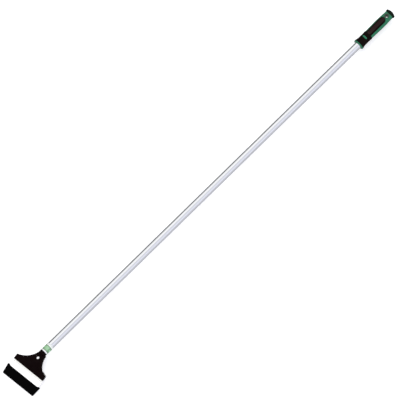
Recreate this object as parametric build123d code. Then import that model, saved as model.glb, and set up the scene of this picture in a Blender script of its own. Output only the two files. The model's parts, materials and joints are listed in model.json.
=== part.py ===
from build123d import *
import os
from math import asin, cos, radians, sin, tan

# A long-handled floor scraper, lying on the floor with its blade guard on.
#
# While it is being built, X runs along the pole from the head to the grip, Z is up,
# and the origin is on the pole's axis at the tube's lower end, where the head starts.
# place_on_floor() then moves the finished tool so that the floor is Z = 0 and the
# middle of its outline is at X = 0, Y = 0.
#
# All sizes are in millimetres and all angles in degrees.

# ---- handle tube -------------------------------------------------------------------
handle_length = 1219.2          # from the tube's lower end to the grip's far end, 48 in
tube_diameter = 19.05           # 3/4 in tube
tube_wall = 1.5
slip_clearance = 0.05           # radial, between a tube and what sits in it or on it

label_start = 0.5               # bare tube between the head and the label
label_length = 24.0
label_thickness = 0.15

# ---- head casting ------------------------------------------------------------------
plate_thickness = 4.5
plate_top = 1.2                 # height of the flat plate's top face over the pole's axis
bend_distance = 39.0            # from the tube's end to the line where the plate bends
blade_angle = 16.5              # how far the jaw and blade point below the pole
bend_radius = 4.0               # on the underside of the bend
jaw_depth = 18.95               # from the bend to the head's front edge, along the blade
head_width = 99.8
shoulder_distance = 43.4        # from the tube's end to the start of the straight sides
flank_distance = 32.7           # a point on the curved flank: how far from the tube ...
flank_half_width = 26.6         # ... and how far from the centre line
head_corner_radius = 1.4
plate_edge_radius = 0.8
boss_length = 7.0               # round part of the neck, as thick as the tube
boss_gap = 0.8                  # flat plate between the neck's thin end and the hole
boss_tip_radius = 2.4
rib_thickness = 3.0
rib_height = 4.0
rib_end_distance = 35.0
spigot_length = 42.0

head_hole_distance = 19.8       # hanging hole in the plate
head_hole_diameter = 7.2
head_hole_chamfer = 0.5         # on the upper face
head_hole_sink = 2.6            # depth of the wide countersink in the lower face

rivet_distance = 30.0
rivet_diameter = 4.0
rivet_head_diameter = 7.6
rivet_head_height = 1.3
rivet_depth = 7.0

# ---- jaw, blade and their fasteners ------------------------------------------------
front_jaw_thickness = 1.2
front_jaw_width = 98.0
front_jaw_proud = 4.5           # how far it stands out past the head's front edge
jaw_rear_margin = 1.5           # from the bend to the rear edge of both jaws
rear_jaw_thickness = 3.5
rear_jaw_width = 96.0
rear_jaw_setback = 1.0          # behind the head's front edge
rear_jaw_chamfer = 1.5

blade_width = 101.6             # 4 in
blade_length = 60.3             # 2 3/8 in
blade_thickness = 0.8
blade_gripped = 17.9            # how much of the blade is between the jaws
bevel_length = 3.0
edge_thickness = 0.15

screw_diameter = 5.0
screw_spacing = 54.0
screw_setback = 8.45            # from the head's front edge back to the screws
screw_length = 10.0
screw_head_diameter = 9.5
screw_head_height = 3.0
screw_head_rounding = 1.2
screw_tip_chamfer = 0.6
socket_across_flats = 3.0
socket_depth = 1.8
shank_clearance = 0.1           # radial, screw in the rear jaw
thread_clearance = 0.05         # radial, screw in its insert
slot_clearance = 0.6            # radial, screw in the front jaw and in the blade's slot

washer_diameter = 9.2
washer_thickness = 1.2
washer_gap = 0.7

insert_diameter = 7.0
insert_length = 3.6
insert_groove_width = 0.8
insert_groove_depth = 0.4

pin_diameter = 4.0
pin_spacing = 84.0
pin_setback = 12.95             # from the head's front edge back to the pins
pin_depth = 3.4                 # pressed into the head
pin_reach = 1.5                 # into the rear jaw
pin_clearance = 0.3             # radial, pin in the blade's notch and in the rear jaw

# ---- blade guard -------------------------------------------------------------------
guard_gap = 19.4                # bare steel between the head's front edge and the guard
guard_depth = 25.0              # from the guard's mouth to its nose
guard_nose_width = 105.0
guard_ear_width = 111.0
guard_ear_height = 2.1          # how far the ears stand above the mouth
guard_ear_foot_width = 95.0     # between the inner feet of the two ears
guard_ear_top_width = 105.7
guard_bead_thickness = 5.4
guard_bead_depth = 3.2
guard_thickness = 4.2
guard_nose_radius = 1.4
guard_slot_clearance = 0.1      # each side of the blade
guard_end_clearance = 0.3       # past the blade's ends and its cutting edge

# ---- grip --------------------------------------------------------------------------
grip_length = 119.4             # from the base ring's face to the end of the cap
grip_turn = 15.5                # the grip's front faces this far round from straight up
base_ring_length = 2.6
base_ring_wall = 4.775          # walls are measured out from the tube's surface
base_ring_rounding = 2.1
core_neck_wall = 1.475          # the core under the soft sleeve
collar_end = 36.8               # all distances along the grip are from the base ring's face
collar_walls = [(4.4, 4.675), (7.2, 3.875), (11.0, 3.125), (16.0, 2.875), (26.0, 2.825)]
collar_end_wall = 3.125
skin_walls = [(37.7, 2.425), (50.7, 2.825), (64.2, 3.125), (72.2, 3.325), (85.7, 3.175), (98.2, 2.625)]
skin_end_wall = 2.275
cap_seat = 109.1

tongue_width = 17.0             # soft strip that runs up the front and the back
tongue_end = 93.3
pad_width = 9.2
pad_start = 35.2
pad_end = 92.1
pad_floor_wall = 1.875
pad_raise = 0.45

bar_width = 13.4                # hard bar that shows through a window in the sleeve
bar_height = 4.2
bar_distance = 23.8
bar_raise = 0.35
window_clearance = 0.15

flat_inset = 0.225              # how far the flats around the hang hole lie inside the tube's size
flat_start = 93.5
flat_run_in = 0.9
flat_rise = 3.4                 # height of the sloping run-in, up through the skin

hang_hole_distance = 101.0
hang_hole_diameter = 8.5
bush_diameter = 11.0
bush_flange_diameter = 12.8
bush_flange_thickness = 0.7
bush_rounding = 0.3

post_wall = 0.475               # core's end, inside the cap
post_length = 6.0
cap_wall = 3.775
cap_rim_distance = 4.4          # from the cap's seat to its widest place
cap_rim_rounding = 1.0          # from the widest place in to the dome's edge
cap_dome_height = 3.5
tube_end_gap = 1.0              # between the tube's end and the bottom of its bore
bore_end = 93.7

# ---- worked out from the sizes above -----------------------------------------------
tube_radius = tube_diameter / 2
tube_bore_radius = tube_radius - tube_wall
base_ring_diameter = tube_diameter + 2 * base_ring_wall
core_neck_diameter = tube_diameter + 2 * core_neck_wall
collar_outline = [(along, tube_radius + wall) for along, wall in collar_walls]
collar_end_radius = tube_radius + collar_end_wall
skin_outline = [(along, tube_radius + wall) for along, wall in skin_walls]
skin_end_radius = tube_radius + skin_end_wall
pad_floor_diameter = tube_diameter + 2 * pad_floor_wall
flat_thickness = tube_diameter - 2 * flat_inset
post_diameter = tube_diameter + 2 * post_wall
cap_diameter = tube_diameter + 2 * cap_wall
grip_start = handle_length - grip_length
tube_length = grip_start + bore_end - tube_end_gap
boss_fade = head_hole_distance - head_hole_diameter / 2 - head_hole_chamfer - boss_gap - boss_length
blade_level = -(plate_thickness + front_jaw_thickness + blade_thickness / 2)
blade_rear = jaw_depth - blade_gripped
screw_place = jaw_depth - screw_setback
pin_place = jaw_depth - pin_setback
guard_mouth = jaw_depth + guard_gap
blade_bottom = blade_level - blade_thickness / 2
rear_jaw_bottom = blade_bottom - rear_jaw_thickness
screw_seat = rear_jaw_bottom - washer_thickness
tool_reach = 60.0               # longer than any cut has to be

# The jaw frame: its X points along the blade towards the cutting edge, its Z is square
# to the blade's upper face, and its origin is on the bend line of the plate's top face.
blade_direction = Vector(-cos(radians(blade_angle)), 0, -sin(radians(blade_angle)))
blade_normal = Vector(-sin(radians(blade_angle)), 0, cos(radians(blade_angle)))
jaw_frame = Plane(origin=(-bend_distance, 0, plate_top), x_dir=blade_direction, z_dir=blade_normal)
sides = {"left": 1, "right": -1}   # Y in the jaw frame, as the user sees the head


def in_jaw(shape):
    """Carry a piece that was drawn in the jaw frame to its place on the head."""
    return jaw_frame.location * shape


def rod(diameter, bottom, top):
    """A round bar along Z between two heights."""
    bar = Cylinder(diameter / 2, top - bottom, align=(Align.CENTER, Align.CENTER, Align.MIN))
    return Pos(0, 0, bottom) * bar


def bar_along_x(diameter, start, end):
    """A round bar along X between two distances."""
    return Pos(start, 0, 0) * Rot(0, 90, 0) * rod(diameter, 0, end - start)


def block(x_low, x_high, width, z_low, z_high):
    """A box between two X and two Z values, centred on Y."""
    middle = ((x_low + x_high) / 2, 0, (z_low + z_high) / 2)
    return Pos(*middle) * Box(x_high - x_low, width, z_high - z_low)


def slab(outline, bottom, top):
    """A flat outline in XY, drawn out along Z between two heights."""
    return extrude(Pos(0, 0, bottom) * outline, top - bottom)


def turned(wire):
    """A closed outline of X and radius, spun about the X axis."""
    return revolve(make_face(wire), Axis.X, 360)


# ---- handle ------------------------------------------------------------------------
def pole_tube():
    tube = bar_along_x(tube_diameter, 0, tube_length)
    tube -= bar_along_x(2 * tube_bore_radius, 0, tube_length)
    return tube - rivet_hole()


def label_wrap():
    end = label_start + label_length
    label = bar_along_x(tube_diameter + 2 * label_thickness, label_start, end)
    return label - bar_along_x(tube_diameter, label_start, end)


def rivet_hole():
    """The drilling for the neck rivet, up from below."""
    bottom = -tube_radius - rivet_head_height
    return Pos(rivet_distance, 0, 0) * rod(rivet_diameter, bottom, rivet_depth - tube_radius)


def neck_rivet():
    """A blind rivet with a domed head that is shaped to the tube."""
    seat = -tube_radius
    head = rod(rivet_head_diameter, seat - rivet_head_height, seat + rivet_head_height)
    rim = head.edges().filter_by(GeomType.CIRCLE).sort_by(Axis.Z)[0]
    head = fillet(rim, rivet_head_height * 0.7)
    head = Pos(rivet_distance, 0, 0) * head
    head -= bar_along_x(tube_diameter, 0, tool_reach)
    return head + rivet_hole()


# ---- head --------------------------------------------------------------------------
def head_outline(inset=0):
    """The head seen from above: a narrow neck, two hollow flanks and straight sides."""
    half = head_width / 2
    neck = (0, tube_radius)
    shoulder = (-shoulder_distance, half)
    front = (-tool_reach, half)
    flank = ThreePointArc(neck, (-flank_distance, flank_half_width), shoulder)
    upper = Wire([flank, Line(shoulder, front)])
    across = Line(front, (front[0], -half))
    closing = Line((0, -tube_radius), neck)
    face = make_face([*upper.edges(), across, *mirror(upper, Plane.XZ).edges(), closing])
    corners = face.vertices().filter_by(lambda v: abs(v.X + shoulder_distance) < 0.01)
    face = fillet(corners, head_corner_radius)
    if inset:
        face = offset(face, -inset, kind=Kind.INTERSECTION)
    return face


def bent_plate():
    """The plate in side view: flat behind the bend, and along the blade in front of it."""
    bend = Vector(-bend_distance, 0, plate_top)
    inner_bend = bend + blade_direction * plate_thickness * tan(radians(blade_angle / 2))
    inner_bend -= blade_normal * plate_thickness
    front_top = bend + blade_direction * jaw_depth
    front_bottom = front_top - blade_normal * plate_thickness
    rear = -boss_length / 2
    section = Polyline(
        (rear, 0, plate_top),
        bend,
        front_top,
        front_bottom,
        inner_bend,
        (rear, 0, plate_top - plate_thickness),
        close=True,
    )
    face = make_face(section)
    outer_corner = face.vertices().sort_by_distance(bend)[0]
    face = fillet(outer_corner, bend_radius + plate_thickness)
    inner_corner = face.vertices().sort_by_distance(inner_bend)[0]
    face = fillet(inner_corner, bend_radius)
    plate = extrude(face, amount=head_width, both=True)
    return plate & slab(head_outline(), -tool_reach, tool_reach)


def neck_boss():
    """The round end of the neck, which fades into the plate in a hollow curve."""
    fade_end = -(boss_length + boss_fade)
    middle = (-boss_length - boss_fade * 0.42, boss_tip_radius + (tube_radius - boss_tip_radius) * 0.4)
    outline = Polyline(
        (fade_end, boss_tip_radius),
        (fade_end, 0),
        (0, 0),
        (0, tube_radius),
        (-boss_length, tube_radius),
    )
    hollow = ThreePointArc((-boss_length, tube_radius), middle, (fade_end, boss_tip_radius))
    return turned([outline, hollow])


def flank_ribs():
    """Two ribs under the plate, one along each flank."""
    band = head_outline() - head_outline(rib_thickness)
    underside = plate_top - plate_thickness
    ribs = slab(band, underside - rib_height, underside + plate_thickness / 2)
    return ribs & block(-rib_end_distance, -boss_length / 2, head_width, -tool_reach, tool_reach)


def head_hole():
    """The hanging hole in the plate, chamfered above and countersunk from below."""
    bottom = plate_top - plate_thickness
    radius = head_hole_diameter / 2
    stand = (Align.CENTER, Align.CENTER, Align.MIN)
    cutter = rod(head_hole_diameter, bottom, plate_top)
    chamfer = Cone(radius, radius + head_hole_chamfer, head_hole_chamfer, align=stand)
    cutter += Pos(0, 0, plate_top - head_hole_chamfer) * chamfer
    sink = Cone(radius, radius + head_hole_sink, head_hole_sink, align=stand)
    cutter += Pos(0, 0, bottom + head_hole_sink) * Rot(180, 0, 0) * sink
    return Pos(-head_hole_distance, 0, 0) * cutter


def head_body():
    plate = bent_plate()
    long_edges = plate.faces().sort_by(SortBy.AREA)[-4:]
    top_faces = [f for f in long_edges if f.normal_at().Z > 0.5]
    rim = [e for f in top_faces for e in f.edges() if abs(e.center().Y) > tube_radius]
    plate = fillet(rim, plate_edge_radius)
    head = plate + neck_boss() + flank_ribs()
    head += bar_along_x(2 * (tube_bore_radius - slip_clearance), 0, spigot_length)
    head -= head_hole()
    head -= rivet_hole()
    for side in sides.values():
        pocket = rod(insert_diameter, -plate_thickness, -plate_thickness + insert_length)
        head -= in_jaw(Pos(screw_place, side * screw_spacing / 2, 0) * pocket)
        socket = rod(pin_diameter, -plate_thickness, -plate_thickness + pin_depth)
        head -= in_jaw(Pos(pin_place, side * pin_spacing / 2, 0) * socket)
    return head


# ---- jaw and blade -----------------------------------------------------------------
def at_screws(shape):
    """The same cutter at both screws, in the jaw frame."""
    return [Pos(screw_place, side * screw_spacing / 2, 0) * shape for side in sides.values()]


def at_pins(shape):
    """The same cutter at both locating pins, in the jaw frame."""
    return [Pos(pin_place, side * pin_spacing / 2, 0) * shape for side in sides.values()]


def through(diameter):
    """A round cutter that passes through every layer of the jaw."""
    return rod(diameter, screw_seat, -plate_thickness)


def front_jaw():
    """The bright strip between the head and the blade, which stands out in front."""
    top = -plate_thickness
    strip = block(
        jaw_rear_margin,
        jaw_depth + front_jaw_proud,
        front_jaw_width,
        top - front_jaw_thickness,
        top,
    )
    lip = strip.edges().filter_by(Axis.Y).sort_by_distance((tool_reach, 0, 0))[0]
    strip = chamfer(lip, front_jaw_thickness / 2)
    strip -= at_screws(through(screw_diameter + 2 * slot_clearance))
    strip -= at_pins(through(pin_diameter))
    return in_jaw(strip)


def rear_jaw():
    """The clamp bar that presses the blade up against the front jaw."""
    front = jaw_depth - rear_jaw_setback
    jaw = block(jaw_rear_margin, front, rear_jaw_width, rear_jaw_bottom, blade_bottom)
    low_edges = jaw.edges().filter_by(Axis.Y).group_by(Axis.Z)[0]
    jaw = chamfer(low_edges, rear_jaw_chamfer)
    jaw -= at_screws(through(screw_diameter + 2 * shank_clearance))
    jaw -= at_pins(through(pin_diameter + 2 * pin_clearance))
    return in_jaw(jaw)


def open_slot(width, bottom_of_slot):
    """A slot from the blade's rear edge to a round end about a point on the X axis."""
    rear = blade_rear - width
    slot = block(rear - bottom_of_slot, 0, width, -plate_thickness, plate_thickness)
    return slot + rod(width, -plate_thickness, plate_thickness)


def blade():
    """The steel blade, with slots for the screws, notches for the pins and a bevelled edge."""
    half = blade_thickness / 2
    tip = blade_rear + blade_length
    section = Polyline(
        (blade_rear, 0, -half),
        (blade_rear, 0, half),
        (tip - bevel_length, 0, half),
        (tip, 0, edge_thickness / 2),
        (tip, 0, -edge_thickness / 2),
        (tip - bevel_length, 0, -half),
        close=True,
    )
    steel = extrude(make_face(section), amount=blade_width / 2, both=True)
    steel -= at_screws(open_slot(screw_diameter + 2 * slot_clearance, screw_place))
    steel -= at_pins(open_slot(pin_diameter + 2 * pin_clearance, pin_place))
    return in_jaw(Pos(0, 0, blade_level) * steel)


def clamp_screw(side):
    """A round-headed socket screw, up through the rear jaw into the head."""
    head = rod(screw_head_diameter, screw_seat - screw_head_height, screw_seat)
    crown = head.edges().filter_by(GeomType.CIRCLE).sort_by(Axis.Z)[0]
    head = fillet(crown, screw_head_rounding)
    shank = rod(screw_diameter, screw_seat, screw_seat + screw_length)
    tip = shank.edges().filter_by(GeomType.CIRCLE).sort_by(Axis.Z)[-1]
    shank = chamfer(tip, screw_tip_chamfer)
    hexagon = RegularPolygon(socket_across_flats / 2, 6, major_radius=False)
    bottom = screw_seat - screw_head_height
    socket = slab(hexagon, bottom, bottom + socket_depth)
    screw = head + shank - socket
    return in_jaw(Pos(screw_place, side * screw_spacing / 2, 0) * screw)


def lock_washer(side):
    """A split spring washer under the screw's head."""
    ring = rod(washer_diameter, screw_seat, rear_jaw_bottom)
    ring -= rod(screw_diameter + 2 * thread_clearance, screw_seat, rear_jaw_bottom)
    split = Rot(30, 0, 0) * Box(washer_diameter, washer_gap, 4 * washer_thickness)
    ring -= Pos(-washer_diameter / 2, 0, screw_seat + washer_thickness / 2) * split
    return in_jaw(Pos(screw_place, side * screw_spacing / 2, 0) * ring)


def thread_insert(side):
    """A grooved brass insert that carries the screw's thread in the head."""
    top = -plate_thickness + insert_length
    insert = rod(insert_diameter, -plate_thickness, top)
    insert -= rod(screw_diameter + 2 * thread_clearance, -plate_thickness, top)
    middle = -plate_thickness + insert_length / 2
    low = middle - insert_groove_width / 2
    high = middle + insert_groove_width / 2
    groove = rod(insert_diameter, low, high)
    groove -= rod(insert_diameter - 2 * insert_groove_depth, low, high)
    return in_jaw(Pos(screw_place, side * screw_spacing / 2, 0) * (insert - groove))


def locating_pin(side):
    """A dowel pressed into the head, which sets the front jaw and the blade square."""
    bottom = blade_bottom - pin_reach
    pin = rod(pin_diameter, bottom, -plate_thickness + pin_depth)
    return in_jaw(Pos(pin_place, side * pin_spacing / 2, 0) * pin)


# ---- blade guard -------------------------------------------------------------------
def guard_outline():
    """The guard seen square to the blade, with an ear at each end of its mouth."""
    ear_top = guard_mouth - guard_ear_height
    nose = guard_mouth + guard_depth
    half = [
        (guard_mouth, guard_ear_foot_width / 2),
        (ear_top, guard_ear_top_width / 2),
        (ear_top, guard_ear_width / 2),
        (nose, guard_nose_width / 2),
    ]
    other_half = [(x, -y) for x, y in reversed(half)]
    face = make_face(Polyline(*half, *other_half, close=True))
    roundings = [2.5, 1.0, 1.3, 1.1]
    for (x, y), radius in zip(half, roundings):
        for side in (1, -1):
            corner = face.vertices().sort_by_distance((x, side * y, 0))[0]
            face = fillet(corner, radius)
    return face


def blade_guard():
    """A moulded channel that slides over the cutting edge."""
    bead = guard_bead_thickness / 2
    wall = guard_thickness / 2
    top = guard_mouth - guard_ear_height
    shelf = guard_mouth + guard_bead_depth
    nose = guard_mouth + guard_depth
    section = Polyline(
        (top, 0, bead),
        (shelf, 0, bead),
        (shelf + bead - wall, 0, wall),
        (nose, 0, wall),
        (nose, 0, -wall),
        (shelf + bead - wall, 0, -wall),
        (shelf, 0, -bead),
        (top, 0, -bead),
        close=True,
    )
    face = make_face(section)
    nose_corners = face.vertices().group_by(Axis.X)[-1]
    face = fillet(nose_corners, guard_nose_radius)
    body = extrude(face, amount=guard_ear_width, both=True)
    body &= slab(guard_outline(), -tool_reach, tool_reach)
    slot_half = blade_thickness / 2 + guard_slot_clearance
    slot_end = blade_rear + blade_length + guard_end_clearance
    slot_width = blade_width + 2 * guard_end_clearance
    body -= block(guard_mouth - guard_depth, slot_end, slot_width, -slot_half, slot_half)
    return in_jaw(Pos(0, 0, blade_level) * body)


# ---- grip --------------------------------------------------------------------------
# The grip's pieces are drawn with the base ring's face at X = 0 and the front up.
def on_handle(shape):
    """Turn a grip piece about the pole and move it to the handle's end."""
    return Pos(grip_start, 0, 0) * Rot(grip_turn, 0, 0) * shape


def obround(length, width, centre):
    """A strip along X with round ends, as a cutter through the grip from front to back."""
    return extrude(Pos(centre, 0, 0) * SlotOverall(length, width), amount=tool_reach / 2, both=True)


def raised(outline, amount):
    """The same outline with every radius larger by one amount."""
    return [(x, radius + amount) for x, radius in outline]


def collar_solid(extra=0):
    """The soft collar's outer shape, solid, from the base ring to the collar's end."""
    ring_radius = base_ring_diameter / 2
    curve = [(base_ring_length, ring_radius), *collar_outline, (collar_end, collar_end_radius)]
    curve = raised(curve, extra)
    top = Spline(*curve)
    base = Polyline(curve[-1], (collar_end, 0), (base_ring_length, 0), curve[0])
    return turned([top, base])


def skin_solid(end, extra=0):
    """The core's outer shape, solid, from the collar's end up to a given distance."""
    curve = [(collar_end, skin_outline[0][1]), *skin_outline[1:], (cap_seat, skin_end_radius)]
    curve = raised(curve, extra)
    top = Spline(*curve)
    base = Polyline(curve[-1], (cap_seat, 0), (collar_end, 0), curve[0])
    whole = turned([top, base])
    if end < cap_seat:
        whole &= block(0, end, tool_reach, -tool_reach, tool_reach)
    return whole


def tongue_tool(extra=0):
    """The straight-sided, round-ended zone of the soft strips, through the whole grip."""
    width = tongue_width + 2 * extra
    length = tongue_end + extra
    return obround(length, width, length / 2) & block(collar_end, length, width, -tool_reach, tool_reach)


def pad_tool():
    return obround(pad_end - pad_start, pad_width, (pad_start + pad_end) / 2)


def bar_tool(extra=0):
    """The zone of the hard bar in the sleeve's window, turned across the grip."""
    shape = SlotOverall(bar_width + 2 * extra, bar_height + 2 * extra, rotation=90)
    return extrude(Pos(bar_distance, 0, 0) * shape, amount=tool_reach / 2, both=True)


def flat_tool():
    """What is cut away above the front flat, with a sloping run-in."""
    level = flat_thickness / 2
    high = base_ring_diameter
    slope_top = level + flat_rise
    section = Polyline(
        (flat_start, 0, high),
        (flat_start, 0, slope_top),
        (flat_start + flat_run_in, 0, level),
        (cap_seat, 0, level),
        (cap_seat, 0, high),
        close=True,
    )
    return extrude(make_face(section), amount=base_ring_diameter, both=True)


def grip_core():
    """The hard core: base ring, neck, outer skin, flats and the post for the cap."""
    bore = 2 * (tube_radius + slip_clearance)
    ring = bar_along_x(base_ring_diameter, 0, base_ring_length)
    rim = ring.edges().filter_by(GeomType.CIRCLE).sort_by(Axis.X)[0]
    core = fillet(rim, base_ring_rounding)
    core += bar_along_x(core_neck_diameter, base_ring_length / 2, collar_end)
    skin = skin_solid(cap_seat)
    skin -= tongue_tool() - bar_along_x(core_neck_diameter, 0, tongue_end)
    skin -= [flat_tool(), mirror(flat_tool(), Plane.XY)]
    core += skin
    core += bar_along_x(post_diameter, cap_seat - 1, cap_seat + post_length)
    core += collar_solid(bar_raise) & bar_tool()
    core -= bar_along_x(bore, 0, bore_end)
    core -= Pos(hang_hole_distance, 0, 0) * rod(bush_diameter, -tool_reach, tool_reach)
    return on_handle(core)


def grip_sleeve():
    """The soft collar and the two soft strips that run up from it, moulded in one."""
    sleeve = collar_solid()
    sleeve += skin_solid(tongue_end) & tongue_tool()
    sleeve -= bar_along_x(core_neck_diameter, 0, tongue_end)
    sleeve -= bar_tool(window_clearance)
    sleeve -= pad_tool() - bar_along_x(pad_floor_diameter, 0, tongue_end)
    return on_handle(sleeve)


def grip_pad(up):
    """A raised palm pad set into a soft strip: up is 1 at the front and -1 at the back."""
    shape = skin_solid(cap_seat, pad_raise)
    shape += bar_along_x(2 * (collar_end_radius + pad_raise), 0, collar_end)
    pad = shape & pad_tool()
    pad -= bar_along_x(pad_floor_diameter, 0, cap_seat)
    half = block(0, cap_seat, tool_reach, 0, tool_reach)
    if up < 0:
        half = mirror(half, Plane.XY)
    return on_handle(pad & half)


def hang_hole_bush():
    """A flanged bush that lines the hang hole from flat to flat."""
    face = flat_thickness / 2
    outer = face + bush_flange_thickness
    bush = rod(bush_diameter, -face, face)
    bush += rod(bush_flange_diameter, face, outer)
    bush += rod(bush_flange_diameter, -outer, -face)
    bush -= rod(hang_hole_diameter, -outer, outer)
    rims = bush.edges().group_by(Axis.Z)
    bush = fillet(rims[0] + rims[-1], bush_rounding)
    return on_handle(Pos(hang_hole_distance, 0, 0) * bush)


def grip_end_cap():
    """The soft domed cap, a cup that fits over the core's post."""
    seat = (cap_seat, skin_end_radius)
    wide = (cap_seat + cap_rim_distance, cap_diameter / 2)
    dome_edge = (grip_length - cap_dome_height, cap_diameter / 2 - cap_rim_rounding)
    dome_radius = (cap_dome_height**2 + dome_edge[1] ** 2) / (2 * cap_dome_height)
    half_angle = asin(dome_edge[1] / dome_radius) / 2
    dome_middle = (grip_length - dome_radius * (1 - cos(half_angle)), dome_radius * sin(half_angle))
    side = Spline(seat, wide, tangents=[(1, 0.2), (1, 0)])
    rim = Spline(wide, dome_edge, tangents=[(1, 0), (1, -2)])
    dome = ThreePointArc(dome_edge, dome_middle, (grip_length, 0))
    post_end = cap_seat + post_length
    inside = Polyline(
        (grip_length, 0),
        (post_end, 0),
        (post_end, post_diameter / 2),
        (cap_seat, post_diameter / 2),
        seat,
    )
    return on_handle(turned([side, rim, dome, inside]))


# ---- the whole tool ----------------------------------------------------------------
def make_pieces():
    pieces = {
        "pole_tube": pole_tube(),
        "label_wrap": label_wrap(),
        "neck_rivet": neck_rivet(),
        "head_body": head_body(),
        "front_jaw": front_jaw(),
        "rear_jaw": rear_jaw(),
        "blade": blade(),
        "blade_guard": blade_guard(),
        "grip_core": grip_core(),
        "grip_sleeve": grip_sleeve(),
        "grip_pad_front": grip_pad(1),
        "grip_pad_rear": grip_pad(-1),
        "hang_hole_bush": hang_hole_bush(),
        "grip_end_cap": grip_end_cap(),
    }
    for name, side in sides.items():
        pieces["clamp_screw_" + name] = clamp_screw(side)
        pieces["lock_washer_" + name] = lock_washer(side)
        pieces["thread_insert_" + name] = thread_insert(side)
        pieces["locating_pin_" + name] = locating_pin(side)
    return pieces


def place_on_floor(pieces):
    """Move the tool so that its lowest point is at Z = 0 and its middle is over the origin."""
    boxes = [piece.bounding_box() for piece in pieces.values()]
    middle_x = (min(box.min.X for box in boxes) + max(box.max.X for box in boxes)) / 2
    middle_y = (min(box.min.Y for box in boxes) + max(box.max.Y for box in boxes)) / 2
    shift = Pos(-middle_x, -middle_y, -min(box.min.Z for box in boxes))
    return shift, {name: shift * piece for name, piece in pieces.items()}


floor_shift, placed = place_on_floor(make_pieces())
os.makedirs("parts", exist_ok=True)
for name, piece in placed.items():
    export_step(piece, "parts/" + name + ".step")
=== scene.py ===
# %% [markdown]
# # A long-handled floor scraper
# The tool lies face up: a bright tube, a flared black head with a wide steel blade under a
# black guard, and a green and black cushion grip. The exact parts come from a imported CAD
# model. This lesson gives every one of them a finish, and rebuilds as fine meshes the few
# that need more surface than a CAD solid has.

# %% Load the CAD model
import json
import math

import bpy
import numpy as np
from mathutils import Matrix, Vector


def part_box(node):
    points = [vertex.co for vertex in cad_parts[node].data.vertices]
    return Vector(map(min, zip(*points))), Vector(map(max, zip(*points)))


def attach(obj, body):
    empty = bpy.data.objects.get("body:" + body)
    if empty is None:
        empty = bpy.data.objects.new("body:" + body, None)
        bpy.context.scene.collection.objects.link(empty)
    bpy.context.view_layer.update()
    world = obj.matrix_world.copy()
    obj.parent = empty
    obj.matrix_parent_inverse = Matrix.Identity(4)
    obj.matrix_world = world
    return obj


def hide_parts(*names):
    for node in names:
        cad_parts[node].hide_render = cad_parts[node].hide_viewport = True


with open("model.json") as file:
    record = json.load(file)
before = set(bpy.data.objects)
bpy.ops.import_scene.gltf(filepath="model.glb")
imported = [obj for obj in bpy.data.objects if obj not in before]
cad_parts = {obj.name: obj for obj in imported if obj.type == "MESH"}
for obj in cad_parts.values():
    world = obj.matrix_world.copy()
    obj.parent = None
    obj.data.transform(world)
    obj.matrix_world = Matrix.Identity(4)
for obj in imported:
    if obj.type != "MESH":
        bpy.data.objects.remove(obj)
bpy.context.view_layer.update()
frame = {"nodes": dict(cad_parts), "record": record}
nodes = frame["nodes"]
MM = 0.001

# %% [markdown]
# ## Where things are
# Every place below is read from the model instead of being typed in, so the scene still
# fits if the tool is made longer. The tube gives the pole's axis, and the hang hole's own
# axis says which way the grip faces.

# %% Landmarks
tube_low, tube_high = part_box("pole_tube")
axis_height = (tube_low.z + tube_high.z) / 2
tube_radius = (tube_high.z - tube_low.z) / 2
neck = Vector((tube_low.x, 0, axis_height))
grip_tip = Vector((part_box("grip_end_cap")[1].x, 0, axis_height))
mounts = {mount["name"]: mount for mount in frame["record"]["mounts"]}
grip_front = Vector(mounts["hang_hole"]["axis"])
grip_side = grip_front.cross(Vector((1, 0, 0)))
grip_angle = math.degrees(math.atan2(-grip_front.y, grip_front.z))
print("tube radius, mm:", round(tube_radius / MM, 2), " grip turned by", round(grip_angle, 1))

# %% [markdown]
# ## The camera
# The tool is seen from the left of its head and well above it, with a long lens so that
# both ends keep the same scale. Three directions make the camera: back towards the eye,
# and the picture's right and up. Right and up are turned about the line of sight until the
# pole climbs at the wanted angle. The head is wider than the grip, so the pole's middle
# sits a little up and right of the picture's centre.

# %% Camera
EYE_AZIMUTH = math.radians(-24.8)
EYE_ELEVATION = math.radians(57.7)
POLE_CLIMB = math.radians(44.33)
FRAME_WIDTH = 0.9833
EYE_DISTANCE = 40.0
MIDDLE_OFFSET = (0.0412, 0.0486)

back = Vector((
    math.sin(EYE_AZIMUTH) * math.cos(EYE_ELEVATION),
    -math.cos(EYE_AZIMUTH) * math.cos(EYE_ELEVATION),
    math.sin(EYE_ELEVATION),
))
along = Vector((1, 0, 0))
along = (along - back * along.dot(back)).normalized()
across = back.cross(along)
right = along * math.cos(POLE_CLIMB) - across * math.sin(POLE_CLIMB)
up = along * math.sin(POLE_CLIMB) + across * math.cos(POLE_CLIMB)
aim = (neck + grip_tip) / 2 - right * MIDDLE_OFFSET[0] - up * MIDDLE_OFFSET[1]

camera_data = bpy.data.cameras.new("camera")
camera_data.sensor_width = 36.0
camera_data.lens = camera_data.sensor_width * EYE_DISTANCE / FRAME_WIDTH
camera_data.clip_end = 100.0
camera = bpy.data.objects.new("camera", camera_data)
camera_turn = Matrix((right, up, back)).transposed().to_4x4()
camera.matrix_world = Matrix.Translation(aim + back * EYE_DISTANCE) @ camera_turn
bpy.context.scene.collection.objects.link(camera)
bpy.context.scene.camera = camera
print("lens, mm:", round(camera_data.lens))

# %% [markdown]
# ## Floor and light
# A plain pale floor and a sky of light stand for a studio with a big soft box overhead.
# Bright metal shows what is round it more than it shows itself, so the sky does the work:
# white overhead and high on the far side, a cool paler band on the near side, and a dark
# warm band low on the far side. Those bands are what draw the stripes along the tube.

# %% Floor and sky
def add_node(tree, kind, **settings):
    """A new shader node with its properties set."""
    new = tree.nodes.new(kind)
    for key, value in settings.items():
        setattr(new, key, value)
    return new


def set_inputs(node, **values):
    """Give a node's sockets constant values, by socket name with _ for a space."""
    for key, value in values.items():
        node.inputs[key.replace("_", " ")].default_value = value
    return node


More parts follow.
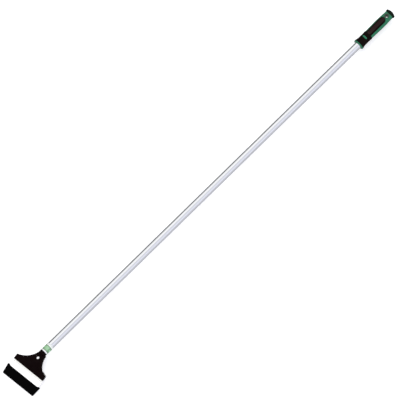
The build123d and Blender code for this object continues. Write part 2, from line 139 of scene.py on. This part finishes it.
def calculate(tree, operation, first, second=None, third=None, clamp=False):
    """A math node on up to three values, each a socket or a number; returns its output."""
    node = add_node(tree, "ShaderNodeMath", operation=operation, use_clamp=clamp)
    for socket, value in zip(node.inputs, (first, second, third)):
        if isinstance(value, bpy.types.NodeSocket):
            tree.links.new(value, socket)
        elif value is not None:
            socket.default_value = value
    return node.outputs[0]


def blend_colours(tree, factor, first, second):
    """Mix two colours by a factor; each may be a socket or a constant."""
    node = add_node(tree, "ShaderNodeMix", data_type="RGBA")
    sockets = (node.inputs[0], node.inputs[6], node.inputs[7])
    for socket, value in zip(sockets, (factor, first, second)):
        if isinstance(value, bpy.types.NodeSocket):
            tree.links.new(value, socket)
        else:
            socket.default_value = value if socket is node.inputs[0] else (*value[:3], 1)
    return node.outputs[2]


def steps(tree, factor, stops):
    """A colour ramp through (position, colour) stops; returns its colour."""
    ramp = add_node(tree, "ShaderNodeValToRGB")
    while len(ramp.color_ramp.elements) < len(stops):
        ramp.color_ramp.elements.new(0.5)
    for element, (position, colour) in zip(ramp.color_ramp.elements, stops):
        element.position = position
        element.color = (*colour, 1)
    tree.links.new(factor, ramp.inputs[0])
    return ramp.outputs[0]


def above(tree, value, start, gain):
    """How far a value lies above start, times gain and held between 0 and 1."""
    return calculate(tree, "MULTIPLY", calculate(tree, "SUBTRACT", value, start), gain, clamp=True)


FLOOR_SIZE = 40.0
FLOOR_GLOW = 0.50
SKY_STRENGTH = 1.55
SIDE_CONTRAST = 2.5

corners = np.array([(-1, -1, 0), (1, -1, 0), (1, 1, 0), (-1, 1, 0)]) * FLOOR_SIZE / 2
floor_mesh = bpy.data.meshes.new("floor")
floor_mesh.from_pydata(corners.tolist(), [], [(0, 1, 2, 3)])
floor = bpy.data.objects.new("floor", floor_mesh)
bpy.context.scene.collection.objects.link(floor)

floor_paint = bpy.data.materials.new("floor_paint")
floor_paint.use_nodes = True
paint = floor_paint.node_tree.nodes["Principled BSDF"]
set_inputs(paint, Base_Color=(0.78, 0.78, 0.79, 1), Roughness=0.9, Specular_IOR_Level=0.0)
set_inputs(paint, Emission_Color=(1, 1, 1, 1))
seen_by_eye = add_node(floor_paint.node_tree, "ShaderNodeLightPath").outputs["Is Camera Ray"]
glow = calculate(floor_paint.node_tree, "MULTIPLY", seen_by_eye, FLOOR_GLOW)
floor_paint.node_tree.links.new(glow, paint.inputs["Emission Strength"])
floor_mesh.materials.append(floor_paint)

world = bpy.data.worlds.new("studio")
world.use_nodes = True
sky = world.node_tree
direction = add_node(sky, "ShaderNodeTexCoord").outputs["Generated"]
axes = add_node(sky, "ShaderNodeSeparateXYZ")
sky.links.new(direction, axes.inputs[0])
height = calculate(sky, "MULTIPLY_ADD", axes.outputs["Z"], 0.5, 0.5)
near_side = steps(sky, height, [
    (0.50, (0.86, 0.87, 0.96)),
    (0.76, (0.82, 0.83, 0.92)),
    (0.90, (0.68, 0.68, 0.73)),
    (0.955, (0.72, 0.72, 0.75)),
    (0.985, (1.0, 1.0, 1.0)),
])
far_side = steps(sky, height, [
    (0.50, (0.05, 0.05, 0.045)),
    (0.72, (0.16, 0.16, 0.145)),
    (0.84, (0.60, 0.60, 0.58)),
    (0.90, (1.0, 1.0, 1.0)),
    (0.985, (1.0, 1.0, 1.0)),
])
side = calculate(sky, "MULTIPLY_ADD", axes.outputs["Y"], SIDE_CONTRAST, 0.5, clamp=True)
dome = sky.nodes["Background"]
sky.links.new(blend_colours(sky, side, near_side, far_side), dome.inputs["Color"])
dome.inputs["Strength"].default_value = SKY_STRENGTH
bpy.context.scene.world = world
bpy.context.scene.view_settings.view_transform = "Standard"
print("floor and sky made")


# %% [markdown]
# ## Effects that several finishes share
# Grain, drawn lines, edge wear and dust are each built once as a node group that puts out
# plain masks. A finish then decides what the mask does to its colour and roughness, so one
# grain can be the texture of rubber in one place and of powder coat in another.

# %% Shared node groups
def new_group(name, inputs, outputs):
    """An empty shader group with float inputs and outputs; 'Vector' becomes a vector input."""
    group = bpy.data.node_groups.new(name, "ShaderNodeTree")
    for label, default in inputs.items():
        kind = "NodeSocketVector" if label == "Vector" else "NodeSocketFloat"
        socket = group.interface.new_socket(label, in_out="INPUT", socket_type=kind)
        if kind == "NodeSocketFloat":
            socket.default_value = default
    for label in outputs:
        group.interface.new_socket(label, in_out="OUTPUT", socket_type="NodeSocketFloat")
    return group, group.nodes.new("NodeGroupInput"), group.nodes.new("NodeGroupOutput")


def make_grain_group():
    """Two sizes of noise: Height is the fine grain, Patch is a slow change over the piece."""
    inputs = {"Vector": None, "Grain size": 0.4}
    group, given, result = new_group("moulded_grain", inputs, ["Height", "Patch"])
    scale = calculate(group, "DIVIDE", 1.0 / MM, given.outputs["Grain size"])
    fine = set_inputs(add_node(group, "ShaderNodeTexNoise"), Detail=2.0, Roughness=0.6)
    slow = set_inputs(add_node(group, "ShaderNodeTexNoise"), Scale=35.0, Detail=3.0)
    group.links.new(given.outputs["Vector"], fine.inputs["Vector"])
    group.links.new(given.outputs["Vector"], slow.inputs["Vector"])
    group.links.new(scale, fine.inputs["Scale"])
    group.links.new(fine.outputs[0], result.inputs["Height"])
    group.links.new(slow.outputs[0], result.inputs["Patch"])
    return group


def make_lines_group():
    """Noise stretched a hundred times along X: the lines left by drawing or grinding."""
    inputs = {"Vector": None, "Line width": 0.3}
    group, given, result = new_group("drawn_lines", inputs, ["Lines", "Streaks"])
    scale = calculate(group, "DIVIDE", 1.0 / MM, given.outputs["Line width"])
    for output, factor, detail in (("Lines", 1.0, 1.0), ("Streaks", 0.12, 3.0)):
        stretch = add_node(group, "ShaderNodeMapping", vector_type="POINT")
        stretch.inputs["Scale"].default_value = (0.01, 1, 1)
        noise = set_inputs(add_node(group, "ShaderNodeTexNoise"), Detail=detail)
        group.links.new(given.outputs["Vector"], stretch.inputs["Vector"])
        group.links.new(stretch.outputs[0], noise.inputs["Vector"])
        group.links.new(calculate(group, "MULTIPLY", scale, factor), noise.inputs["Scale"])
        group.links.new(noise.outputs[0], result.inputs[output])
    return group


def make_wear_group():
    """Where a rounded normal leaves the true one there is an edge; noise breaks it up."""
    group, given, result = new_group("edge_wear", {"Vector": None, "Amount": 0.5}, ["Worn"])
    rounded = set_inputs(add_node(group, "ShaderNodeBevel", samples=4), Radius=0.6 * MM)
    true_normal = add_node(group, "ShaderNodeNewGeometry")
    turn = add_node(group, "ShaderNodeVectorMath", operation="DOT_PRODUCT")
    group.links.new(rounded.outputs[0], turn.inputs[0])
    group.links.new(true_normal.outputs["Normal"], turn.inputs[1])
    turned = calculate(group, "SUBTRACT", 1.0, turn.outputs["Value"])
    edge = calculate(group, "MULTIPLY", turned, 6.0, clamp=True)
    noise = set_inputs(add_node(group, "ShaderNodeTexNoise"), Scale=420.0, Detail=4.0)
    group.links.new(given.outputs["Vector"], noise.inputs["Vector"])
    worn = calculate(group, "MULTIPLY", edge, above(group, noise.outputs[0], 0.38, 4.0))
    amount = calculate(group, "MULTIPLY", worn, given.outputs["Amount"], clamp=True)
    group.links.new(amount, result.inputs["Worn"])
    return group


def make_dust_group():
    """Specks and a thin film that lie on whatever faces up."""
    group, given, result = new_group("settled_dust", {"Vector": None, "Amount": 0.3}, ["Dust"])
    facing = add_node(group, "ShaderNodeSeparateXYZ")
    group.links.new(add_node(group, "ShaderNodeNewGeometry").outputs["Normal"], facing.inputs[0])
    level = calculate(group, "MULTIPLY", facing.outputs["Z"], 1.0, clamp=True)
    film = set_inputs(add_node(group, "ShaderNodeTexNoise"), Scale=90.0, Detail=5.0, Roughness=0.7)
    group.links.new(given.outputs["Vector"], film.inputs["Vector"])
    dust = calculate(group, "MULTIPLY", above(group, film.outputs[0], 0.45, 3.0), level)
    amount = calculate(group, "MULTIPLY", dust, given.outputs["Amount"], clamp=True)
    group.links.new(amount, result.inputs["Dust"])
    return group


GROUPS = {
    "grain": make_grain_group(),
    "lines": make_lines_group(),
    "wear": make_wear_group(),
    "dust": make_dust_group(),
}
print("node groups:", sorted(group.name for group in GROUPS.values()))

# %% [markdown]
# ## A way to write a finish
# start() makes a material and its shader and files it under its name, place() drops in a
# shared group, colour_and_gloss() links what changes from place to place, and bump() turns
# a height into a normal. What is the same all over is set on the shader's own socket.


# %% Helpers for finishes
finishes = {}


def start(name, base, rough, metal=0.0, **constants):
    """A new material; returns its tree, its shader and the Object coordinates."""
    material = bpy.data.materials.new(name)
    material.use_nodes = True
    material.diffuse_color = (*base, 1)
    finishes[name] = material
    tree = material.node_tree
    shader = tree.nodes["Principled BSDF"]
    set_inputs(shader, Base_Color=(*base, 1), Roughness=rough, Metallic=metal, **constants)
    return tree, shader, add_node(tree, "ShaderNodeTexCoord").outputs["Object"]


def place(tree, group, where, **values):
    """Put a shared group into a material, fed with coordinates and its own values."""
    node = add_node(tree, "ShaderNodeGroup", node_tree=GROUPS[group])
    tree.links.new(where, node.inputs["Vector"])
    return set_inputs(node, **values)


def between(tree, factor, low, high):
    """Stretch a 0 to 1 factor to run from low to high."""
    node = add_node(tree, "ShaderNodeMapRange")
    set_inputs(node, To_Min=low, To_Max=high)
    tree.links.new(factor, node.inputs["Value"])
    return node.outputs[0]


def shade(colour, factor):
    """The same colour, lighter above 1 and darker below."""
    return tuple(c * factor for c in colour)


def colour_and_gloss(tree, shader, colour, height, low, high):
    """Link a colour, and a roughness that runs from low to high with a height."""
    tree.links.new(colour, shader.inputs["Base Color"])
    tree.links.new(between(tree, height, low, high), shader.inputs["Roughness"])


def bump(tree, shader, height, depth):
    """Feed the shader a normal worked out from a height; depth is in millimetres."""
    node = set_inputs(add_node(tree, "ShaderNodeBump"), Strength=1.0, Distance=depth * MM)
    tree.links.new(height, node.inputs["Height"])
    tree.links.new(node.outputs[0], shader.inputs["Normal"])


# %% [markdown]
# ## Metals
# The tube is drawn through a die, which leaves fine lines along it, so its grain is noise
# stretched along X. The blade and the jaw strip are ground crosswise: the same group, fed
# with coordinates turned a quarter turn. Steel for screws and pins is plated and duller.


# %% Metal finishes
def line_metal(name, base, rough, line_width, quarter_turn, depth, tint):
    """Bright metal with drawn or ground lines; tint is how much the streaks darken it."""
    tree, shader, where = start(name, base, rough[0], metal=1.0)
    if quarter_turn:
        turned = add_node(tree, "ShaderNodeMapping")
        turned.inputs["Rotation"].default_value = (0, 0, math.radians(90))
        tree.links.new(where, turned.inputs["Vector"])
        where = turned.outputs[0]
    lines = place(tree, "lines", where, Line_width=line_width)
    streaks = lines.outputs["Streaks"]
    colour = blend_colours(tree, streaks, shade(base, 1 - tint), base)
    colour_and_gloss(tree, shader, colour, streaks, rough[1], rough[0])
    bump(tree, shader, lines.outputs["Lines"], depth)


def plated_steel(name, base, rough):
    """Zinc plate: a cloudy colour, a little grain and brighter worn edges."""
    tree, shader, where = start(name, base, rough, metal=1.0)
    grain = place(tree, "grain", where, Grain_size=0.35)
    wear = place(tree, "wear", where, Amount=0.7)
    cloudy = blend_colours(tree, grain.outputs["Patch"], shade(base, 0.8), base)
    colour = blend_colours(tree, wear.outputs["Worn"], cloudy, (0.85, 0.85, 0.83))
    colour_and_gloss(tree, shader, colour, grain.outputs["Height"], rough * 0.8, rough * 1.3)
    bump(tree, shader, grain.outputs["Height"], 0.01)


line_metal("tube_metal", (0.62, 0.63, 0.65), (0.12, 0.20), 0.12, False, 0.003, 0.06)
line_metal("blade_steel", (0.90, 0.90, 0.90), (0.16, 0.30), 0.10, True, 0.003, 0.04)
line_metal("jaw_steel", (0.80, 0.80, 0.78), (0.24, 0.40), 0.16, True, 0.004, 0.07)
plated_steel("screw_steel", (0.55, 0.55, 0.52), 0.32)
plated_steel("pin_steel", (0.60, 0.60, 0.60), 0.25)
plated_steel("rivet_metal", (0.62, 0.63, 0.65), 0.38)
plated_steel("insert_brass", (0.66, 0.48, 0.20), 0.30)
print("metals:", sorted(finishes))


# %% [markdown]
# ## Paint, plastic and rubber
# The head's powder coat has an orange-peel surface and shows a trace of metal on its sharp
# corners. The guard is dull moulded plastic. The grip's hard core is glossy green plastic;
# its soft sleeve, pads and cap are black rubber that hardly reflects at all. Black pieces
# get a low specular level, set on the shader, which keeps them deep under a bright sky.


# %% Coated and moulded finishes
def powder_coat(name, base):
    """Sprayed and baked paint: coarse orange peel, slow patches, bare edges and dust."""
    tree, shader, where = start(name, base, 0.42, Specular_IOR_Level=0.015)
    peel = place(tree, "grain", where, Grain_size=0.9)
    wear = place(tree, "wear", where, Amount=0.12)
    dust = place(tree, "dust", where, Amount=0.006)
    patchy = blend_colours(tree, peel.outputs["Patch"], base, shade(base, 1.8))
    worn = blend_colours(tree, wear.outputs["Worn"], patchy, (0.20, 0.19, 0.19))
    dusty = blend_colours(tree, dust.outputs["Dust"], worn, (0.30, 0.29, 0.28))
    colour_and_gloss(tree, shader, dusty, peel.outputs["Height"], 0.34, 0.52)
    bump(tree, shader, peel.outputs["Height"], 0.03)


def moulded_plastic(name, base, rough, grain_size, depth, level, coat=0.0):
    """Plastic with a mould's grain, paler rubbed edges and a slight change of tone."""
    tree, shader, where = start(name, base, rough, Specular_IOR_Level=level, Coat_Weight=coat)
    grain = place(tree, "grain", where, Grain_size=grain_size)
    wear = place(tree, "wear", where, Amount=0.35)
    toned = blend_colours(tree, grain.outputs["Patch"], shade(base, 0.82), shade(base, 1.12))
    rubbed = tuple(c * 1.6 + 0.004 for c in base)
    colour = blend_colours(tree, wear.outputs["Worn"], toned, rubbed)
    colour_and_gloss(tree, shader, colour, grain.outputs["Height"], rough * 0.85, rough * 1.2)
    bump(tree, shader, grain.outputs["Height"], depth)


def soft_rubber(name, base, grain_size, depth):
    """Matte rubber: open grain, polished darker where hands rub it, with a little dust."""
    tree, shader, where = start(name, base, 0.7, Specular_IOR_Level=0.02, Sheen_Weight=0.01)
    grain = place(tree, "grain", where, Grain_size=grain_size)
    dust = place(tree, "dust", where, Amount=0.008)
    toned = blend_colours(tree, grain.outputs["Patch"], shade(base, 0.6), shade(base, 1.4))
    colour = blend_colours(tree, dust.outputs["Dust"], toned, (0.32, 0.30, 0.29))
    colour_and_gloss(tree, shader, colour, grain.outputs["Patch"], 0.55, 0.82)
    bump(tree, shader, grain.outputs["Height"], depth)


powder_coat("head_paint", (0.0032, 0.0012, 0.0014))
powder_coat("clamp_paint", (0.0030, 0.0028, 0.0030))
moulded_plastic("guard_plastic", (0.0008, 0.0007, 0.0008), 0.45, 0.5, 0.012, 0.02)
moulded_plastic("grip_hard", (0.018, 0.160, 0.078), 0.22, 0.8, 0.004, 0.20)
moulded_plastic("bush_plastic", (0.050, 0.090, 0.055), 0.30, 0.6, 0.004, 0.12)
soft_rubber("grip_soft", (0.0060, 0.0034, 0.0028), 0.35, 0.02)
soft_rubber("pad_soft", (0.024, 0.013, 0.0125), 0.25, 0.03)
soft_rubber("cap_soft", (0.0075, 0.0130, 0.0080), 0.4, 0.02)
print("finishes so far:", len(finishes))

# %% [markdown]
# ## The label's print
# The label is a film with its own flat coordinates: u runs round the tube and v along it.
# All the print is worked out from them: a white border, a green field with a darker frame, and pale
# bars and discs that stand for a printed pattern. A fine grey-green band near the end, worked out
# the same way, is a painted shadow along the label's edge. A mask is 1 inside a band and 0 outside
# it, and masks multiply to make boxes.


# %% Label finish
def band(tree, value, low, high, soft=0.012):
    """1 where value lies between low and high, with soft ends."""
    rise = add_node(tree, "ShaderNodeMapRange")
    set_inputs(rise, From_Min=low - soft, From_Max=low + soft)
    fall = add_node(tree, "ShaderNodeMapRange")
    set_inputs(fall, From_Min=high + soft, From_Max=high - soft)
    tree.links.new(value, rise.inputs["Value"])
    tree.links.new(value, fall.inputs["Value"])
    return calculate(tree, "MULTIPLY", rise.outputs[0], fall.outputs[0])


def box_mask(tree, first, second):
    """1 where both masks are 1."""
    return calculate(tree, "MULTIPLY", first, second)


def film_pattern(tree, u, v):
    """Three repeats round the tube, each a stack of bars and a disc beside it.

    A bar is where the sine of 62 v is above 0.1. The disc is where the squares of the two
    scaled distances from its centre add up to less than its size.
    """
    repeat = calculate(tree, "FRACT", calculate(tree, "MULTIPLY", u, 3.0))
    rows = calculate(tree, "SINE", calculate(tree, "MULTIPLY", v, 62.0))
    bars = box_mask(tree, band(tree, rows, 0.1, 2.0, 0.3), band(tree, repeat, 0.12, 0.62, 0.03))
    disc_u = calculate(tree, "MULTIPLY", calculate(tree, "SUBTRACT", repeat, 0.80), 20.0)
    disc_v = calculate(tree, "MULTIPLY", calculate(tree, "SUBTRACT", v, 0.44), 24.0)
    square_u = calculate(tree, "POWER", disc_u, 2.0)
    square_v = calculate(tree, "POWER", disc_v, 2.0)
    disc = band(tree, calculate(tree, "ADD", square_u, square_v), -9.0, 4.2, 0.8)
    return box_mask(tree, calculate(tree, "ADD", bars, disc, clamp=True), band(tree, v, 0.23, 0.65))


def printed_film(name):
    """White film with a green field, a pale pattern in it and a painted edge shadow at one end."""
    white = (0.80, 0.82, 0.79)
    tree, shader, where = start(name, white, 0.4, Specular_IOR_Level=0.2)
    flat = add_node(tree, "ShaderNodeSeparateXYZ")
    tree.links.new(add_node(tree, "ShaderNodeTexCoord").outputs["UV"], flat.inputs[0])
    v = flat.outputs["Y"]
    field = band(tree, v, 0.135, 0.745)
    inside = band(tree, v, 0.205, 0.675, 0.02)
    # A grey-green band near the film's end: painted shadow along the label's edge, not print.
    painted_edge_shadow = calculate(tree, "MULTIPLY", band(tree, v, 0.885, 0.955), 0.55)
    layers = (
        (field, (0.10, 0.28, 0.10)),
        (calculate(tree, "SUBTRACT", field, inside, clamp=True), (0.06, 0.13, 0.055)),
        (film_pattern(tree, flat.outputs["X"], v), (0.42, 0.76, 0.42)),
        (painted_edge_shadow, (0.33, 0.40, 0.33)),
    )
    colour = white
    for mask, ink in layers:
        colour = blend_colours(tree, mask, colour, ink)
    grain = place(tree, "grain", where, Grain_size=0.5)
    worn = calculate(tree, "MULTIPLY", grain.outputs["Patch"], 0.25)
    colour = blend_colours(tree, worn, colour, white)
    colour_and_gloss(tree, shader, colour, grain.outputs["Height"], 0.30, 0.50)
    bump(tree, shader, grain.outputs["Height"], 0.004)


printed_film("label_film")
print("finishes:", len(finishes))

# %% Put each finish on its nodes
slot_of = {part["node"]: part["material_slot"] for part in frame["record"]["subparts"]}
for name, node in nodes.items():
    node.data.materials.clear()
    node.data.materials.append(finishes[slot_of[name]])
print("nodes with a finish:", len(nodes))

# %% [markdown]
# ## Surfaces made with numpy
# A new piece is a grid of points worked out all at once from two parameters, then joined
# into quads. Where a grid ends in a point or a line, many of its points fall on the same
# place; weld() keeps one of each, which closes the surface.


# %% From a grid of points to a mesh
def weld(points, quads):
    """Merge points that coincide, and point the quads at the ones that are kept."""
    rounded = np.round(points / (1e-4 * MM))
    _, first, index = np.unique(rounded, axis=0, return_index=True, return_inverse=True)
    return points[first], index.reshape(-1)[quads]


def grid_quads(rows, columns, around):
    """Corner numbers of the quads of a grid; around joins the last column to the first."""
    row = np.arange(rows - 1)[:, None] * columns
    column = np.arange(columns if around else columns - 1)[None, :]
    after = (column + 1) % columns
    quad = (row + column, row + after, row + columns + after, row + columns + column)
    return np.stack(np.broadcast_arrays(*quad), axis=-1).reshape(-1, 4)


def mesh_piece(name, points, quads, material, body, stands_for, uv=None):
    """An object from points and quads, with its finish, its body and the CAD node it replaces."""
    faces = [list(dict.fromkeys(quad)) for quad in quads.tolist()]
    mesh = bpy.data.meshes.new(name)
    mesh.from_pydata(points.tolist(), [], [face for face in faces if len(face) > 2])
    mesh.shade_smooth()
    mesh.set_sharp_from_angle(angle=math.radians(50))
    if uv is not None:
        layer = mesh.uv_layers.new(name="flat")
        layer.data.foreach_set("uv", uv[quads.reshape(-1)].reshape(-1).astype(np.float32))
    mesh.materials.append(finishes[material])
    piece = bpy.data.objects.new(name, mesh)
    bpy.context.scene.collection.objects.link(piece)
    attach(piece, body)
    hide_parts(stands_for)
    print(name, "quads:", len(quads))
    return piece


# %% [markdown]
# ## The label, wrapped with an overlap
# The film goes a little more than once round the tube. Its radius stays the same for the
# first turn, then climbs by a film's thickness to pass over its own start, underneath the
# tube where nobody looks. The sheet is wound facing the tube, so an offset of -1 makes
# Solidify put the thickness on the outside. The film it leaves is closed and faces out.


# %% Label piece
FILM_STEP = 0.05 * MM
FILM_TURNS = 1.06
CLIMB_TURNS = 0.01


def wrapped_film():
    """A sheet wound round the tube from underneath.

    From the tube's axis, y is minus the radius times the sine of the angle, and z is minus
    the radius times its cosine. The radius is constant for one turn and then climbs by one
    step over a hundredth of a turn. x runs straight along the tube.
    """
    low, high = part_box("label_wrap")
    outer = (high.z - low.z) / 2
    turn = np.linspace(0, FILM_TURNS, 150)
    length = np.linspace(low.x, high.x, 16)
    radius = outer - 1.2 * FILM_STEP + FILM_STEP * np.clip((turn - 1.0) / CLIMB_TURNS, 0, 1)
    angle = 2 * math.pi * turn
    grid = np.zeros((len(length), len(turn), 3))
    grid[..., 0] = length[:, None]
    grid[..., 1] = -np.sin(angle) * radius
    grid[..., 2] = axis_height - np.cos(angle) * radius
    uv = np.stack(np.meshgrid(turn, np.linspace(0, 1, len(length))), axis=-1).reshape(-1, 2)
    quads = grid_quads(len(length), len(turn), around=False)
    points = grid.reshape(-1, 3)
    piece = mesh_piece("label_film_wrap", points, quads, "label_film", "handle", "label_wrap", uv)
    thick = piece.modifiers.new("film", "SOLIDIFY")
    thick.thickness = 0.8 * FILM_STEP
    thick.offset = -1


wrapped_film()

# %% [markdown]
# ## The shape of a palm pad
# Seen from the front a pad is a strip with round ends. The surface is a stack of loops of
# that shape. They start on a line in the middle of the underside, spread to the outline,
# climb the side wall, turn over a small rounding and close in on the middle of the top.
# The room for a pad is read from the CAD solid that it replaces.


# %% Room, profile and outline
GAP = 0.05 * MM
STATION_REACH = 2.5 * MM
ROUNDING = 0.9 * MM
UNDER_LOOPS, WALL_LOOPS, ROUND_LOOPS, TOP_LOOPS = 7, 3, 8, 33
STRAIGHT_POINTS, BEND_POINTS = 170, 26


def pad_room(node):
    """Floor radius, half width, both round ends' centres, and the top's radius along x.

    A corner of the CAD solid lies the square root of (height squared + offset squared)
    from the pole's axis. The least is the floor; the most near each station is the top.
    """
    cad = nodes[node].data
    corner = np.empty(len(cad.vertices) * 3)
    cad.vertices.foreach_get("co", corner)
    corner = corner.reshape(-1, 3) - (0, 0, axis_height)
    x = corner[:, 0]
    offset = corner @ np.array(grip_side)
    distance = np.hypot(corner @ np.array(grip_front), offset)
    stations = np.linspace(x.min(), x.max(), 24)
    nearest = np.abs(x[None, :] - stations[:, None]) < STATION_REACH
    top = np.where(nearest, distance[None, :], 0).max(axis=1)
    half_width = np.abs(offset).max() - GAP
    centres = (x.min() + half_width, x.max() - half_width)
    return distance.min() + GAP, half_width, centres, (stations, top)


def pad_profile(half_width):
    """For every loop: how far inside the outline, how far up, and how far under the top.

    Over the rounding the loop is the radius times (1 - cosine) inside the outline and the
    radius times (1 - sine) under the top, as the angle goes to a quarter turn. Elsewhere
    the loops spread evenly between the middle and the outline.
    """
    quarter = np.linspace(0.15, 1, ROUND_LOOPS) * math.pi / 2
    inward = np.concatenate([
        np.linspace(half_width, 0, UNDER_LOOPS),
        np.zeros(WALL_LOOPS),
        ROUNDING * (1 - np.cos(quarter)),
        np.linspace(ROUNDING, half_width, TOP_LOOPS + 1)[1:],
    ])
    lift = np.concatenate([
        np.zeros(UNDER_LOOPS),
        np.linspace(0.2, 1, WALL_LOOPS),
        np.ones(ROUND_LOOPS + TOP_LOOPS),
    ])
    drop = np.concatenate([
        np.zeros(UNDER_LOOPS),
        np.full(WALL_LOOPS, ROUNDING),
        ROUNDING * (1 - np.sin(quarter)),
        np.zeros(TOP_LOOPS),
    ])
    return inward, lift, drop


def pad_outline():
    """For every point round the strip: which end it belongs to, and the way out.

    far is 1 at the far end and 0 at the near one, and goes evenly between them on the
    straights. The way out is the cosine and sine of the sweep on a round end, and straight
    sideways on a straight.
    """
    sweep = np.linspace(-math.pi / 2, math.pi / 2, BEND_POINTS)
    run = np.linspace(0, 1, STRAIGHT_POINTS)[1:-1]
    level, sideways = np.zeros(len(run)), np.ones(len(run))
    far = np.concatenate([np.ones(BEND_POINTS), 1 - run, np.zeros(BEND_POINTS), run])
    out_x = np.concatenate([np.cos(sweep), level, -np.cos(sweep), level])
    out_y = np.concatenate([np.sin(sweep), sideways, -np.sin(sweep), -sideways])
    return far, out_x, out_y


print("points in a pad's loop:", len(pad_outline()[0]))

# %% [markdown]
# ## The palm pads
# A point at the distance r from the pole's axis and y off the centre line is the square
# root of (r squared - y squared) in front of the axis. Chevron grooves are taken off r,
# deepest in the middle and fading to nothing before the rim.


# %% Grooves and pads
INSET = 0.02 * MM
UNDER_TOP = 0.06 * MM
GROOVE_DEPTH = 0.32 * MM
GROOVE_PITCH = 2.3 * MM
CHEVRON_SLOPE = 0.75
PLAIN_RIM = 1.3 * MM
RIM_FADE = 0.7 * MM
RUN_PAST_CENTRE = 2.2 * MM
END_FADE = 1.0 * MM


def groove_depth(x, y, half_width, near_x, far_x):
    """What the chevrons take off the radius at each point.

    It is the depth times a wave, the cosine of one turn a pitch, made steeper and held
    between 0 and 1. The pitch is counted along x plus the slope times the distance off the
    centre line. Ramps from 0 to 1 fade the wave inside the rim and at the strip's ends.
    """
    phase = (x + CHEVRON_SLOPE * np.abs(y)) / GROOVE_PITCH
    wave = np.clip(np.cos(2 * math.pi * phase) * 1.6 - 0.4, 0, 1)
    inner = np.clip((half_width - np.abs(y) - PLAIN_RIM) / RIM_FADE, 0, 1)
    near = np.clip((x - near_x + RUN_PAST_CENTRE) / END_FADE, 0, 1)
    far = np.clip((far_x + RUN_PAST_CENTRE - x) / END_FADE, 0, 1)
    return GROOVE_DEPTH * wave * inner * (near * far)


def palm_pad(name, node, facing):
    """A pad on the front of the grip (facing 1) or on its back (facing -1).

    A loop's reach is the half width less its inset. x is an end's centre plus the reach
    times the way out along x, and y is the reach times the way out sideways. The radius is
    the floor's plus the lift times the way up to the grooved top. The height in front of
    the axis is the square root of (radius squared - y squared).
    """
    floor_radius, half_width, (near_x, far_x), (stations, highest) = pad_room(node)
    inward, lift, drop = pad_profile(half_width)
    far, out_x, out_y = pad_outline()
    reach = (half_width - INSET - inward)[:, None].clip(min=0)
    x = near_x + (far_x - near_x) * far + reach * out_x
    y = reach * out_y
    top = np.interp(x, stations, highest) - UNDER_TOP
    top = top - groove_depth(x, y, half_width, near_x, far_x) - drop[:, None]
    radius = floor_radius + (top - floor_radius) * lift[:, None]
    front = np.sqrt(np.maximum(radius**2 - y**2, 0)) * facing
    points = x[..., None] * np.array((1, 0, 0)) + front[..., None] * np.array(grip_front)
    points = points + y[..., None] * np.array(grip_side) + np.array((0, 0, axis_height))
    quads = grid_quads(*x.shape, around=True)
    if facing < 0:
        quads = quads[:, ::-1]
    points, quads = weld(points.reshape(-1, 3), quads)
    mesh_piece(name, points, quads, "pad_soft", "handle", node)


palm_pad("palm_pad_front", "grip_pad_front", 1)
palm_pad("palm_pad_rear", "grip_pad_rear", -1)
